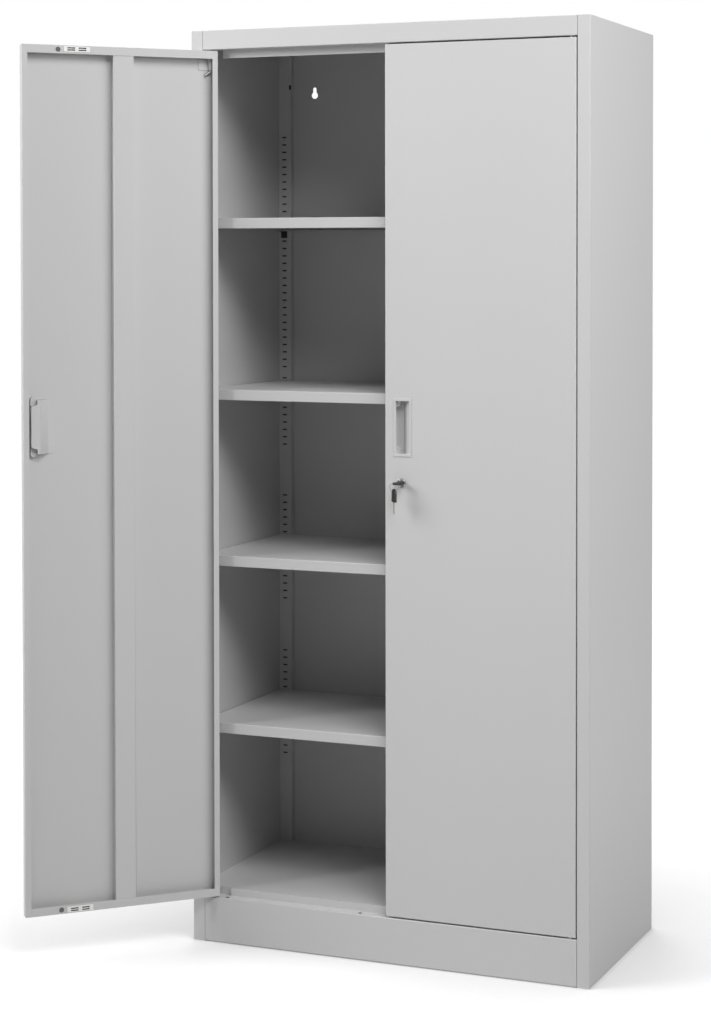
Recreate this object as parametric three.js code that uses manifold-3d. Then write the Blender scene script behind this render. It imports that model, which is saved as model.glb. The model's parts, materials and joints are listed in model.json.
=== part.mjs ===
// Two-door steel office cabinet: folded sheet-steel panels, doors on pins, shelves on clips and a cam lock.
// Millimetres, +Z up, the front faces -Y. The origin is on the floor, at the middle of the plinth's foot.

import * as THREE from 'three';
import { mergeVertices } from 'three/addons/utils/BufferGeometryUtils.js';
import Module from 'manifold-3d';

const wasm = await Module();
wasm.setup();

// Body
const bodyWidth = 850;
const bodyDepth = 410;
const bodyHeight = 1850;
const sheet = 0.8;
const fit = 0.3;
const cutOverrun = 2;

// Side panels: the front edge is folded into a post, the back edge into a flange
const postWidth = 25;
const postDepth = 25;
const backFlange = 15;
const tabWidth = 24;

// Top and base panels, with a seam between each of them and the posts
const seamGap = 0.9;
const railHeight = 38.4;
const ledgeDepth = 21.4;
const stopHeight = 16.3;
const stopInset = 35;
const plinthHeight = 91.5;
const plinthFoot = 20;
const floorRise = 15.3;
const riserInset = 48;
const ledgeHoleRadius = 4.2;
const ledgeHoleSetback = 9.6;
const ledgeHoleInner = 57.5;
const ledgeHoleOuter = 353;
const rearFold = 18;

// Back panel with two keyholes to hang it on wall screws
const backSetback = 5;
const backHem = 3.1;
const backFootGap = 10;
const keyholeSide = 343;
const keyholeDrop = 103;
const keyholeRadius = 7.5;
const keyholeSlotRadius = 4;
const keyholeRise = 13.5;

// Slotted uprights, one in each corner
const uprightWidth = 30.2;
const uprightInset = 19;
const uprightFlange = 12;
const slotWidth = 10;
const slotHeight = 3;
const slotPitch = 16.2;
const slotSetback = 14.5;
const slotsAbove = [13, 2, 7, 7];
const slotsBelow = [18, 7, 7, 7];
const markRadius = 1.25;
const markDrop = 5.8;
const markedSlots = [13, -9];
const uprightNotchDrop = 85;
const uprightNotchWidth = 4;
const uprightNotchHeight = 10;

// Shelves, by the height of each top face
const shelfTops = [1472.4, 1123.8, 785, 443.1];
const shelfHeight = 21.3;
const shelfReturn = 12;
const shelfFront = 27;
const shelfSideGap = 2.7;
const shelfBackGap = 1.5;

// Shelf clips
const clipWidth = 14.5;
const clipHeight = 15;
const clipPlate = 1.2;
const clipTongue = 8;
const clipTongueThickness = 2;
const clipHookDrop = 7;
const clipHookHeight = 9.5;

// Doors
const doorGap = 3;
const doorMiddleGap = 4.6;
const doorDepth = 20;
const doorLip = 11.5;
const doorEndLip = 16.2;
const openAngle = 136.2;

// Door pivots, measured from the door's hinge edge and outer face
const pivotInset = 12;
const pivotDepth = 5.5;
const pinRadius = 2.3;
const pinReach = 6;
const barrelWall = 0.9;
const barrelLength = 37;
const barrelFloor = 2;
const springWire = 0.6;
const springLength = 17.4;
const collarHeight = 2;
const pinLegReach = 11.3;
const pinLegDrop = 7.5;
const pinLegStart = 0.6;
const barrelPlateLength = 24;
const barrelPlateHeight = 22;
const barrelPlateThickness = 1.2;
const footShoulderRadius = 4;
const footPinHeight = 13;
const footPlateSide = 10;
const footPlateThickness = 1.5;

// Door stiffener, a channel down the inside of the door
const stiffenerStart = 172.6;
const stiffenerWidth = 41.5;
const stiffenerLipGap = 0.3;

// Magnetic catches and bumpers on the door's end lips
const catchStart = 260.1;
const catchWidth = 52.5;
const catchHeight = 11.6;
const catchDepth = 9;
const catchProud = 1;
const poleWidth = 14.3;
const poleThickness = 1.5;
const poleSpread = 2.1;
const poleDepth = 5;
const poleInset = 8;
const bumperStart = 323.4;
const bumperEdge = 8.2;
const bumperRadius = 4.8;
const bumperThickness = 0.8;

// Recessed handle, measured back from the door's free edge
const handleHeight = 1059.5;
const handleOpening = 29;
const handleOpeningEdge = 22.6;
const handleOpeningHeight = 103.6;
const handleRim = 4.2;
const handleRimHeight = 5.4;
const handleRimThickness = 1;
const handleWall = 1.2;
const handleDepth = 18.5;
const handleFloor = 10.3;
const handleKneeInset = 2.5;
const handleKneeDepth = 4.5;
const handleNeckDepth = 3;
const handleShelfDepth = 6.5;
const handleStep = 6.8;
const handlePocketReach = 5.3;
const handlePocketHeight = 76.3;
const handlePocketTaper = 5.6;
const handleWing = 11;
const handleEarRadius = 6;
const handleEarReach = 6.3;
const handleEarRise = 6.3;
const handleEarHeight = 18.3;
const handleEarDepth = 7;

// Cam lock in the right door
const lockHeight = 951.3;
const lockEdge = 34.7;
const lockFlangeRadius = 9;
const lockFlangeThickness = 3;
const lockBarrelRadius = 8;
const lockBarrelLength = 20.2;
const lockNutRadius = 12.5;
const lockNutThickness = 3;
const plugRadius = 5.2;
const plugStub = 3;
const plugStubLength = 2.4;
const keySlotHeight = 1.8;
const camReach = 50;
const camWidth = 14;
const camThickness = 2;
const camScrewRadius = 1.5;
const camScrewHeadRadius = 4.6;
const camScrewHeadHeight = 2.2;
const camScrewLength = 4;

// Keys and their ring
const keyBladeLength = 23.4;
const keyBladeWidth = 6;
const keyBladeThickness = 1.2;
const keyBladeRoot = 5;
const keyTooth = 1.4;
const keyToothPitch = 3.6;
const keyTeeth = 4;
const keyShoulderGap = 1;
const bowLength = 26;
const bowWidth = 18;
const bowThickness = 4;
const bowHoleRadius = 3.5;
const bowHoleInset = 8;
const bowChamfer = 1.5;
const ringRadius = 9;
const ringWireRadius = 0.6;
const ringTurn = 45;

// Corners are laid on this grid, so that faces meant to lie in one plane do
const grid = 0.001;

// Facets round a pin, a hole, a nut, an arc and the key ring
const pinSides = 20;
const nutSides = 6;
const holeSides = 20;
const arcSteps = 6;
const ringSteps = 28;
const ringSides = 6;

// Finishes
const bodyPaint = new THREE.MeshStandardMaterial({ color: 0xc6c6c6, roughness: 0.55, metalness: 0.1 });
const handlePlastic = new THREE.MeshStandardMaterial({ color: 0xc9c9c9, roughness: 0.45, metalness: 0 });
const catchPlastic = new THREE.MeshStandardMaterial({ color: 0xececec, roughness: 0.5, metalness: 0 });
const bumperRubber = new THREE.MeshStandardMaterial({ color: 0x6b6b6b, roughness: 0.85, metalness: 0 });
const zincSteel = new THREE.MeshStandardMaterial({ color: 0xb4b6b8, roughness: 0.35, metalness: 0.9 });
const chrome = new THREE.MeshStandardMaterial({ color: 0xd0d2d4, roughness: 0.12, metalness: 1 });
const darkSteel = new THREE.MeshStandardMaterial({ color: 0x3c3d3f, roughness: 0.5, metalness: 0.8 });
const keyPlastic = new THREE.MeshStandardMaterial({ color: 0x141414, roughness: 0.4, metalness: 0 });

// Solids: a closed geometry as a solid, and back again
function solidOf(geometry) {
  const bare = geometry.clone();
  bare.deleteAttribute('normal');
  bare.deleteAttribute('uv');
  const places = bare.attributes.position;
  places.array.forEach((value, i) => {
    places.array[i] = Math.round(value / grid) * grid;
  });
  const merged = mergeVertices(bare, grid / 2);
  const vertProperties = new Float32Array(merged.attributes.position.array);
  const triVerts = new Uint32Array(merged.index.array);
  return new wasm.Manifold(new wasm.Mesh({ numProp: 3, vertProperties, triVerts }));
}

function geometryOf(solid) {
  const mesh = solid.getMesh();
  const geometry = new THREE.BufferGeometry();
  geometry.setAttribute('position', new THREE.BufferAttribute(mesh.vertProperties, 3));
  geometry.setIndex(new THREE.BufferAttribute(mesh.triVerts, 1));
  return geometry;
}

function joined(solids) {
  return solids.reduce((whole, piece) => whole.add(piece));
}

function cut(solid, tools) {
  return tools.reduce((whole, tool) => whole.subtract(tool), solid);
}

// A block between two x, two y and two z values
function block([x0, x1], [y0, y1], [z0, z1]) {
  const geometry = new THREE.BoxGeometry(x1 - x0, y1 - y0, z1 - z0);
  geometry.translate((x0 + x1) / 2, (y0 + y1) / 2, (z0 + z1) / 2);
  return solidOf(geometry);
}

// A round bar standing on z0
function uprightRod(x, y, [z0, z1], radius, sides = pinSides) {
  const geometry = new THREE.CylinderGeometry(radius, radius, z1 - z0, sides);
  geometry.rotateX(Math.PI / 2);
  geometry.translate(x, y, (z0 + z1) / 2);
  return solidOf(geometry);
}

// A round bar that runs front to back
function levelRod(x, [y0, y1], z, radius, sides = pinSides) {
  const geometry = new THREE.CylinderGeometry(radius, radius, y1 - y0, sides);
  geometry.translate(x, (y0 + y1) / 2, z);
  return solidOf(geometry);
}

// A round bar between two points
function barBetween(start, end, radius) {
  const run = new THREE.Vector3().subVectors(end, start);
  const geometry = new THREE.CylinderGeometry(radius, radius, run.length(), pinSides);
  const upright = new THREE.Vector3(0, 1, 0);
  const turn = new THREE.Quaternion().setFromUnitVectors(upright, run.clone().normalize());
  geometry.applyQuaternion(turn);
  const middle = new THREE.Vector3().addVectors(start, end).multiplyScalar(0.5);
  geometry.translate(middle.x, middle.y, middle.z);
  return solidOf(geometry);
}

// A plan outline (x, y) raised from z0 to z1
function raised(shape, [z0, z1]) {
  const options = { depth: z1 - z0, bevelEnabled: false, curveSegments: arcSteps };
  const geometry = new THREE.ExtrudeGeometry(shape, options);
  geometry.translate(0, 0, z0);
  return solidOf(geometry);
}

// A front outline (x, z) made y0 to y1 deep
function fromFront(shape, [y0, y1]) {
  const options = { depth: y1 - y0, bevelEnabled: false, curveSegments: arcSteps };
  const geometry = new THREE.ExtrudeGeometry(shape, options);
  geometry.rotateX(Math.PI / 2);
  geometry.translate(0, y1, 0);
  return solidOf(geometry);
}

// A side outline (y, z) run from x0 to x1
function alongWidth(shape, [x0, x1]) {
  const options = { depth: x1 - x0, bevelEnabled: false, curveSegments: arcSteps };
  const geometry = new THREE.ExtrudeGeometry(shape, options);
  const axes = [new THREE.Vector3(0, 1, 0), new THREE.Vector3(0, 0, 1), new THREE.Vector3(1, 0, 0)];
  geometry.applyMatrix4(new THREE.Matrix4().makeBasis(...axes));
  geometry.translate(x0, 0, 0);
  return solidOf(geometry);
}

// The section of a sheet folded along a path of square bends. The sheet lies to the left of the path.
function foldedSection(path) {
  const inner = path.map(([x, y], i) => {
    const before = i > 0 ? direction(path[i - 1], path[i]) : null;
    const after = i < path.length - 1 ? direction(path[i], path[i + 1]) : null;
    const [ax, ay] = before ?? after;
    const [bx, by] = after ?? before;
    const same = ax === bx && ay === by;
    const shiftX = same ? -ay : -ay - by;
    const shiftY = same ? ax : ax + bx;
    return [x + shiftX * sheet, y + shiftY * sheet];
  });
  return outline([...path, ...inner.reverse()]);
}

function direction([x0, y0], [x1, y1]) {
  const length = Math.hypot(x1 - x0, y1 - y0);
  return [Math.round((x1 - x0) / length), Math.round((y1 - y0) / length)];
}

function outline(points) {
  const shape = new THREE.Shape(points.map(([x, y]) => new THREE.Vector2(x, y)));
  const clockwise = THREE.ShapeUtils.isClockWise(shape.getPoints());
  return clockwise ? new THREE.Shape(shape.getPoints().reverse()) : shape;
}

// The same piece for the other side of the cabinet
function mirrored(solid) {
  const mesh = solid.getMesh();
  const vertProperties = mesh.vertProperties.map((value, i) => (i % 3 === 0 ? -value : value));
  const triVerts = new Uint32Array(mesh.triVerts.length);
  for (let i = 0; i < triVerts.length; i += 3) {
    triVerts.set([mesh.triVerts[i], mesh.triVerts[i + 2], mesh.triVerts[i + 1]], i);
  }
  return new wasm.Manifold(new wasm.Mesh({ numProp: 3, vertProperties, triVerts }));
}

function sided(solid, side) {
  return side === 'right' ? solid : mirrored(solid);
}

function addPiece(group, name, solid, material) {
  const mesh = new THREE.Mesh(geometryOf(solid), material);
  mesh.name = name;
  group.add(mesh);
}

// Places shared by the pieces, from the front plane back and from the floor up
const halfWidth = bodyWidth / 2;
const wallFace = halfWidth - sheet;
const insideWall = wallFace - fit;
const openingHalf = halfWidth - postWidth;
const railHalf = openingHalf - seamGap;
const stopHalf = openingHalf - stopInset;
const riserHalf = openingHalf - riserInset;
const railBottom = bodyHeight - railHeight;
const ceiling = bodyHeight - sheet;
const floorTop = plinthHeight + floorRise;
const frontWeb = postDepth + fit;
const frontWebBack = frontWeb + sheet;
const panFront = frontWebBack + fit;
const backPanelFace = bodyDepth - backSetback;
const backFlangeFace = bodyDepth - sheet;
const rearWeb = bodyDepth - uprightInset;
const panBack = backPanelFace - fit;
const slotCentre = halfWidth - slotSetback;
const shelfBack = rearWeb - shelfBackGap;
const shelfHalf = wallFace - shelfSideGap;
const tabFront = frontWebBack + uprightFlange + fit;
const tabBack = rearWeb - fit;
const tabInner = halfWidth - tabWidth;
const tabTop = ceiling - fit;
const floorTabTop = floorTop - sheet - fit;
const doorBottom = plinthHeight + doorGap;
const doorTop = railBottom - doorGap;
const doorWidth = openingHalf - doorGap - doorMiddleGap / 2;
const pivotX = openingHalf - doorGap - pivotInset;

// Side panel: outer wall, folded front post, rear flange, and a tab at the top and at the floor
function sidePanel() {
  const path = [
    [openingHalf, postDepth],
    [openingHalf, 0],
    [halfWidth, 0],
    [halfWidth, bodyDepth],
    [halfWidth - backFlange, bodyDepth],
  ];
  const wall = raised(foldedSection(path), [0, bodyHeight]);
  const cap = block([openingHalf, wallFace + fit], [sheet - fit, postDepth], [ceiling, bodyHeight]);
  const tabSpan = [tabInner, wallFace + fit];
  const topTab = block(tabSpan, [tabFront, tabBack], [tabTop - sheet, tabTop]);
  const floorTab = block(tabSpan, [tabFront, tabBack], [floorTabTop - sheet, floorTabTop]);
  return joined([wall, cap, topTab, floorTab]);
}

// Top panel: a flat sheet folded down at the front into the rail, back under it, and down to the door stop
function topPanel() {
  const railPath = [
    [panFront, bodyHeight],
    [0, bodyHeight],
    [0, railBottom],
    [ledgeDepth, railBottom],
  ];
  const rail = alongWidth(foldedSection(railPath), [-railHalf, railHalf]);
  const stopSpanY = [ledgeDepth, ledgeDepth + sheet];
  const stop = block([-stopHalf, stopHalf], stopSpanY, [railBottom - stopHeight, railBottom + sheet]);
  const seatSpanY = [ledgeDepth - sheet, ledgeDepth];
  const stopSeat = block([-stopHalf, stopHalf], seatSpanY, [railBottom, railBottom + sheet]);
  const plate = block([-insideWall, insideWall], [panFront, backFlangeFace - fit], [ceiling, bodyHeight]);
  const rearSpan = [-(halfWidth - backFlange - fit), halfWidth - backFlange - fit];
  const rearLip = block(rearSpan, [backFlangeFace, bodyDepth], [bodyHeight - rearFold, bodyHeight]);
  const rearSeat = block(rearSpan, [backFlangeFace - cutOverrun, bodyDepth], [ceiling, bodyHeight]);
  const holeSpan = [railBottom - cutOverrun, railBottom + sheet + cutOverrun];
  const panel = joined([rail, stop, stopSeat, plate, rearLip, rearSeat]);
  return cut(panel, [...pivotHoles(holeSpan), ...ledgeHoles(holeSpan)]);
}

// Base panel: foot, plinth, ledge under the doors, and the floor that rises behind them. The riser steps
// back at both ends, where the corner of a door swings past it.
function basePanel() {
  const plinthPath = [
    [ledgeDepth, plinthHeight],
    [0, plinthHeight],
    [0, 0],
    [plinthFoot, 0],
  ];
  const plinth = alongWidth(foldedSection(plinthPath), [-railHalf, railHalf]);
  const riserPath = [
    [panFront + cutOverrun, floorTop],
    [ledgeDepth, floorTop],
    [ledgeDepth, plinthHeight - sheet],
  ];
  const riser = alongWidth(foldedSection(riserPath), [-riserHalf, riserHalf]);
  const seatSpanY = [ledgeDepth - sheet, ledgeDepth + sheet];
  const riserSeat = block([-riserHalf, riserHalf], seatSpanY, [plinthHeight - sheet, plinthHeight]);
  const setBack = [
    block([riserHalf - sheet, railHalf], [panFront, panFront + sheet], [plinthHeight - sheet, floorTop]),
    block([riserHalf - sheet, railHalf], [ledgeDepth - sheet, panFront + sheet], [plinthHeight - sheet, plinthHeight]),
    block([riserHalf - sheet, riserHalf], [ledgeDepth, panFront + sheet], [plinthHeight - sheet, floorTop]),
  ];
  const floor = block([-insideWall, insideWall], [panFront, panBack], [floorTop - sheet, floorTop]);
  const rearSpan = [-(halfWidth - uprightWidth), halfWidth - uprightWidth];
  const rearFace = block(rearSpan, [panBack - sheet, panBack], [floorTop - rearFold, floorTop]);
  const holeSpan = [plinthHeight - sheet - cutOverrun, plinthHeight + cutOverrun];
  const panel = joined([plinth, riser, riserSeat, ...setBack, ...setBack.map(mirrored), floor, rearFace]);
  return cut(panel, [...pivotHoles(holeSpan), ...ledgeHoles(holeSpan)]);
}

function pivotHoles(span) {
  return [-pivotX, pivotX].map((x) => uprightRod(x, pivotDepth, span, pinRadius + fit, holeSides));
}

function ledgeHoles(span) {
  const places = [-ledgeHoleOuter, -ledgeHoleInner, ledgeHoleInner, ledgeHoleOuter];
  return places.map((x) => uprightRod(x, ledgeHoleSetback, span, ledgeHoleRadius, holeSides));
}

// Back panel: a shallow tray with hemmed edges and a keyhole near each top corner
function backPanel() {
  const bottom = backFootGap;
  const top = ceiling - fit;
  const hemBack = backPanelFace + sheet + backHem;
  const plateShape = outline([
    [-insideWall, bottom],
    [insideWall, bottom],
    [insideWall, top],
    [-insideWall, top],
  ]);
  plateShape.holes.push(keyhole(-keyholeSide), keyhole(keyholeSide));
  const plate = fromFront(plateShape, [backPanelFace, backPanelFace + sheet]);
  const hems = [
    block([-insideWall, sheet - insideWall], [backPanelFace, hemBack], [bottom, top]),
    block([insideWall - sheet, insideWall], [backPanelFace, hemBack], [bottom, top]),
    block([-insideWall, insideWall], [backPanelFace, hemBack], [bottom, bottom + sheet]),
    block([-insideWall, insideWall], [backPanelFace, hemBack], [top - sheet, top]),
  ];
  return joined([plate, ...hems]);
}

// Round entry with a narrower slot above it
function keyhole(x) {
  const entry = bodyHeight - keyholeDrop;
  const slotTop = entry + keyholeRise;
  const half = Math.asin(keyholeSlotRadius / keyholeRadius);
  const hole = new THREE.Path();
  hole.absarc(x, entry, keyholeRadius, Math.PI / 2 + half, Math.PI * 2 + Math.PI / 2 - half, false);
  hole.absarc(x, slotTop, keyholeSlotRadius, 0, Math.PI, false);
  hole.closePath();
  return hole;
}

// Slotted upright: a web with a row of slots for each shelf, and flanges along the side wall and the back.
// A punched mark lies under two of the slots, and the rear one has a notch in its inner bend.
function upright(isRear) {
  const inner = isRear ? halfWidth - uprightWidth : openingHalf;
  const rearPath = [[inner, panBack], [inner, rearWeb], [insideWall, rearWeb], [insideWall, panBack]];
  const frontPath = [[inner, frontWeb], [insideWall, frontWeb], [insideWall, frontWebBack + uprightFlange]];
  const section = foldedSection(isRear ? rearPath : frontPath);
  const web = isRear ? rearWeb : frontWeb;
  const slots = slotHeights().map((z) => block(
    [slotCentre - slotWidth / 2, slotCentre + slotWidth / 2],
    [web - cutOverrun, web + sheet + cutOverrun],
    [z - slotHeight / 2, z + slotHeight / 2],
  ));
  const marks = markedSlots.map((step) => levelRod(
    slotCentre,
    [web - cutOverrun, web + sheet + cutOverrun],
    clipHookCentre(shelfTops[0]) + step * slotPitch - markDrop,
    markRadius,
    holeSides,
  ));
  const notchMiddle = bodyHeight - uprightNotchDrop;
  const notch = block(
    [inner - cutOverrun, inner + uprightNotchWidth],
    [web - cutOverrun, web + sheet + cutOverrun],
    [notchMiddle - uprightNotchHeight / 2, notchMiddle + uprightNotchHeight / 2],
  );
  const holes = isRear ? [...slots, ...marks, notch] : [...slots, ...marks];
  return raised(section, [floorTop + fit, tabTop - sheet - fit]).subtract(joined(holes));
}

function slotHeights() {
  return shelfTops.flatMap((shelfTop, i) => {
    const anchor = clipHookCentre(shelfTop);
    const count = slotsAbove[i] + slotsBelow[i] + 1;
    return Array.from({ length: count }, (_, k) => anchor + (slotsAbove[i] - k) * slotPitch);
  });
}

function clipHookCentre(shelfTop) {
  return shelfTop - shelfHeight - fit - clipHeight + clipHookHeight;
}

// Shelf: a sheet folded down on all sides, with a return along the front and back edges
function shelf(shelfTop) {
  const bottom = shelfTop - shelfHeight;
  const outer = block([-shelfHalf, shelfHalf], [shelfFront, shelfBack], [bottom, shelfTop]);
  const inside = [sheet - shelfHalf, shelfHalf - sheet];
  const hollow = block(inside, [shelfFront + sheet, shelfBack - sheet], [bottom + sheet, shelfTop - sheet]);
  const mouthSpan = [shelfFront + shelfReturn, shelfBack - shelfReturn];
  const mouth = block(inside, mouthSpan, [bottom - cutOverrun, bottom + sheet + sheet]);
  return cut(outer, [hollow, mouth]);
}

// Shelf clips: a hook behind the upright's slot, a plate on its face and a tongue under the shelf
function shelfClip(x, z, webFace, webBack, away) {
  const spanY = (a, b) => (away > 0 ? [a, b] : [b, a]);
  const plateNear = webFace + away * fit;
  const plateFar = plateNear + away * clipPlate;
  const hookNear = webBack - away * fit;
  const hookFar = hookNear - away * clipPlate;
  const top = z - fit;
  const hookCentre = top - clipHeight + clipHookHeight;
  const neckHalf = slotHeight / 2 - fit;
  const bladeHalf = slotWidth / 2 - fit;
  const wide = [x - clipWidth / 2, x + clipWidth / 2];
  const narrow = [x - bladeHalf, x + bladeHalf];
  const neckTop = hookCentre + neckHalf;
  const neckFoot = hookCentre - neckHalf;
  const plate = block(wide, spanY(plateNear, plateFar), [top - clipHeight, top]);
  const tongueSpanY = spanY(plateNear, plateFar + away * clipTongue);
  const tongue = block(wide, tongueSpanY, [top - clipTongueThickness, top]);
  const neck = block(narrow, spanY(hookFar, plateNear), [neckFoot, neckTop]);
  const hook = block(narrow, spanY(hookFar, hookNear), [neckFoot - clipHookDrop, neckTop]);
  return joined([plate, tongue, neck, hook]);
}

function addShelfClips(group, shelfTop, label) {
  const z = shelfTop - shelfHeight;
  const rear = shelfClip(slotCentre, z, rearWeb, rearWeb + sheet, -1);
  const front = shelfClip(slotCentre, z, frontWebBack, frontWeb, 1);
  for (const side of ['left', 'right']) {
    addPiece(group, `shelf_clip_${label}_front_${side}`, sided(front, side), darkSteel);
    addPiece(group, `shelf_clip_${label}_rear_${side}`, sided(rear, side), darkSteel);
  }
}

// Door pieces are drawn for the right door, from the free edge (x = 0) to the hinge edge, about its pivot.
// The door's own frame has its origin on the pivot line, with y back from the pivot.
const hingeEdge = pivotInset;
const freeEdge = hingeEdge - doorWidth;
const outerFace = -pivotDepth;
const innerFace = outerFace + doorDepth;
const skinBack = outerFace + sheet;
const lipFront = innerFace - sheet;
const fromHinge = (s) => hingeEdge - s;
const deep = (n) => outerFace + n;

// Door skin: one sheet folded into a tray with lips turned in, cut for the pins, catches and handle
function doorSkin(hasLock) {
  const spanZ = [doorBottom, doorTop];
  const outer = block([freeEdge, hingeEdge], [outerFace, innerFace], spanZ);
  const hollow = block(
    [freeEdge + sheet, hingeEdge - sheet],
    [skinBack, lipFront],
    [doorBottom + sheet, doorTop - sheet],
  );
  const mouth = block(
    [freeEdge + doorLip, hingeEdge - doorLip],
    [lipFront - cutOverrun, innerFace + cutOverrun],
    [doorBottom + doorEndLip, doorTop - doorEndLip],
  );
  const catchWindows = [true, false].map((isTop) => block(
    [fromHinge(catchStart + catchWidth) - fit, fromHinge(catchStart) + fit],
    [lipFront - cutOverrun, innerFace + cutOverrun],
    [catchZ(isTop)[0] - fit, catchZ(isTop)[1] + fit],
  ));
  const topHoleSpan = [doorTop - sheet - cutOverrun, doorTop + cutOverrun];
  const topHole = uprightRod(0, 0, topHoleSpan, pinRadius + fit, holeSides);
  const footHoleSpan = [doorBottom - cutOverrun, doorBottom + sheet + cutOverrun];
  const footHole = uprightRod(0, 0, footHoleSpan, pinRadius + fit, holeSides);
  const handleHole = block(
    handleNeckX().map((x, i) => x + (i === 0 ? -fit : fit)),
    [outerFace - cutOverrun, skinBack + cutOverrun],
    handleNeckZ().map((z, i) => z + (i === 0 ? -fit : fit)),
  );
  const cuts = [hollow, mouth, ...catchWindows, topHole, footHole, handleHole];
  if (hasLock) {
    const lockSpan = [outerFace - cutOverrun, skinBack + cutOverrun];
    cuts.push(levelRod(lockX, lockSpan, lockHeight, lockBarrelRadius + fit));
  }
  return cut(outer, cuts);
}

// Stiffener: a channel spot-welded to the inside of the skin
function stiffener() {
  const left = fromHinge(stiffenerStart + stiffenerWidth);
  const right = fromHinge(stiffenerStart);
  const crown = lipFront - stiffenerLipGap;
  const path = [[left, skinBack + fit], [left, crown], [right, crown], [right, skinBack + fit]];
  return raised(foldedSection(path.reverse()), [doorBottom + sheet + fit, doorTop - sheet - fit]);
}

// Recessed handle: a moulded cup with a front rim and a deep pocket towards the free edge, whose floor slopes
// up to the other side of the opening
const openingX = [freeEdge + handleOpeningEdge, freeEdge + handleOpeningEdge + handleOpening];
const openingZ = [handleHeight - handleOpeningHeight / 2, handleHeight + handleOpeningHeight / 2];
const lockX = freeEdge + lockEdge;

function handleNeckX() {
  return [openingX[0] - handleWall, openingX[1] + handleWall];
}

function handleNeckZ() {
  return [openingZ[0] - handleWall, openingZ[1] + handleWall];
}

function handleHollowShape(grow, frontFace, slopeTop) {
  const left = openingX[0] - grow;
  const right = openingX[1] + grow;
  const step = openingX[0] + handleStep - grow;
  const back = deep(handleDepth - handleWall) + grow;
  const shape = new THREE.Shape();
  shape.moveTo(left, frontFace);
  shape.lineTo(right, frontFace);
  shape.lineTo(right, slopeTop);
  shape.quadraticCurveTo(
    right - handleKneeInset,
    deep(handleKneeDepth) + grow,
    openingX[0] + handleFloor + grow / 2,
    back,
  );
  shape.lineTo(step, back);
  shape.lineTo(step, deep(handleShelfDepth) + grow);
  shape.lineTo(left, deep(handleShelfDepth) + grow);
  return shape;
}

function handlePocket(grow) {
  const left = openingX[0] - handlePocketReach - grow;
  const right = openingX[0] + handleStep + handleWall;
  const short = handlePocketHeight / 2 + grow;
  const long = short + handlePocketTaper;
  const shape = outline([
    [left, handleHeight - short],
    [right, handleHeight - long],
    [right, handleHeight + long],
    [left, handleHeight + short],
  ]);
  return fromFront(shape, [deep(handleNeckDepth) - grow, deep(handleDepth - handleWall) + grow]);
}

function handleCup() {
  const neckX = handleNeckX();
  const neckZ = handleNeckZ();
  const rimFront = outerFace - fit - handleRimThickness;
  const rim = block(
    [openingX[0] - handleRim, openingX[1] + handleRim],
    [rimFront, outerFace - fit],
    [openingZ[0] - handleRimHeight, openingZ[1] + handleRimHeight],
  );
  const wingBack = skinBack + fit + handleWall;
  const body = raised(handleHollowShape(handleWall, outerFace - fit, wingBack), neckZ);
  const wing = block([neckX[1] - handleWall, neckX[1] + handleWing], [skinBack + fit, wingBack], neckZ);
  const earLeft = openingX[0] - handleEarReach;
  const earSpanY = [skinBack + fit, skinBack + fit + handleEarDepth];
  const ears = neckZ.flatMap((z, i) => {
    const outward = i === 0 ? -1 : 1;
    const roundZ = z + outward * (handleEarRise - handleEarRadius);
    const footZ = z + outward * (handleEarRise - handleEarHeight);
    return [
      levelRod(earLeft + handleEarRadius, earSpanY, roundZ, handleEarRadius),
      block([earLeft, earLeft + handleEarRadius * 2], earSpanY, i === 0 ? [roundZ, footZ] : [footZ, roundZ]),
    ];
  });
  const hollow = raised(handleHollowShape(0, rimFront - cutOverrun, rimFront), openingZ);
  return cut(joined([rim, body, handlePocket(handleWall), wing, ...ears]), [hollow, handlePocket(0)]);
}

// Magnetic catch: a moulded housing in the lip's window, with a slot for each of its four pole plates
function catchZ(isTop) {
  return isTop
    ? [doorTop - sheet - fit - catchHeight, doorTop - sheet - fit]
    : [doorBottom + sheet + fit, doorBottom + sheet + fit + catchHeight];
}

function polePlaces(isTop) {
  const [z0, z1] = catchZ(isTop);
  const middle = (z0 + z1) / 2;
  const starts = [catchStart + poleInset, catchStart + catchWidth - poleInset - poleWidth];
  return starts.flatMap((s) => [-poleSpread, poleSpread].map((rise) => ({
    x: [fromHinge(s + poleWidth), fromHinge(s)],
    z: [middle + rise - poleThickness / 2, middle + rise + poleThickness / 2],
  })));
}

function catchHousing(isTop) {
  const face = innerFace + catchProud;
  const body = block(
    [fromHinge(catchStart + catchWidth), fromHinge(catchStart)],
    [face - catchDepth, face],
    catchZ(isTop),
  );
  const slots = polePlaces(isTop).map(({ x, z }) => block(
    [x[0] - fit, x[1] + fit],
    [face - poleDepth - fit, face + cutOverrun],
    [z[0] - fit, z[1] + fit],
  ));
  return cut(body, slots);
}

// Bumpers: rubber discs stuck on the end lips
function bumper(z) {
  const span = [innerFace + fit, innerFace + fit + bumperThickness];
  return levelRod(fromHinge(bumperStart), span, z, bumperRadius);
}

// Top hinge: a barrel on a plate, with a sprung pin that is pulled down by its leg to free the door
const barrelTop = doorTop - sheet - fit;
const barrelBottom = barrelTop - barrelLength;
const springInner = pinRadius + fit;
const springOuter = springInner + springWire;
const boreRadius = springOuter + fit;
const springBottom = barrelBottom + barrelFloor + fit;
const springTop = springBottom + springLength;

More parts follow.
